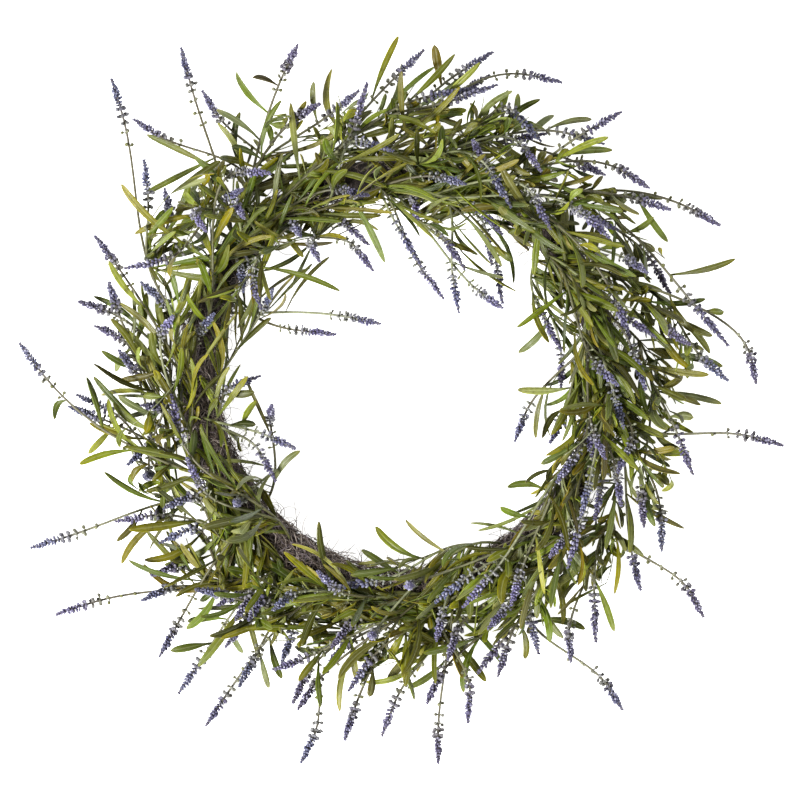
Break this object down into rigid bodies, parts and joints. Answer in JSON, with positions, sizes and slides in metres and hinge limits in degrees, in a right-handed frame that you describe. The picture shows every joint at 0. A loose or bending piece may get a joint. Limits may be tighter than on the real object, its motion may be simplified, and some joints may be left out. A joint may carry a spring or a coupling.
{
  "type": "lavender wreath",
  "caption": "Ring of fine dark twigs set all round with sprays of artificial lavender, their narrow leaves and flower heads sweeping clockwise; decorates a door, wall or table.",
  "frame": {"origin": "centre of the wreath's overall outline, on the surface that its flat back lies on", "axes": "+Z from the back to the front, away from the surface; +Y up and +X right, as the wreath is seen from the front when it hangs and as in the picture"},
  "size_m": [0.611, 0.5854, 0.0998],
  "materials": {
    "twigs": "rough, dark grey-brown",
    "leaf": "satin green",
    "floret": "matte violet"
  },
  "bodies": {
    "root": {"twig_ring": "twigs", "spray_01": "leaf", "spray_02": "leaf", "spray_03": "leaf", "spray_04": "leaf", "spray_05": "leaf", "spray_06": "leaf", "spray_07": "leaf", "spray_08": "leaf", "spray_09": "leaf", "spray_10": "leaf", "spray_11": "leaf", "spray_12": "leaf", "spray_13": "leaf", "spray_14": "leaf", "spray_15": "leaf", "spray_16": "leaf", "spray_17": "leaf", "spray_18": "leaf", "spray_19": "leaf", "spray_20": "leaf", "spray_21": "leaf", "spray_22": "leaf", "spray_23": "leaf", "spray_24": "leaf", "spray_25": "leaf", "spray_26": "leaf", "spray_27": "leaf", "spray_28": "leaf", "spray_29": "leaf", "spray_30": "leaf", "spray_31": "leaf", "spray_32": "leaf", "spray_33": "leaf", "spray_34": "leaf", "spray_35": "leaf", "spray_36": "leaf", "spray_37": "leaf", "spray_38": "leaf", "spray_39": "leaf", "spray_40": "leaf", "spray_41": "leaf", "spray_42": "leaf", "spray_43": "leaf", "spray_44": "leaf", "spray_45": "leaf", "spray_46": "leaf", "spray_47": "leaf", "spray_48": "leaf", "spray_49": "leaf", "spray_50": "leaf", "spray_51": "leaf", "spray_52": "leaf", "spray_53": "leaf", "spray_54": "leaf", "spray_55": "leaf", "spray_56": "leaf"}
  },
  "joints": []
}
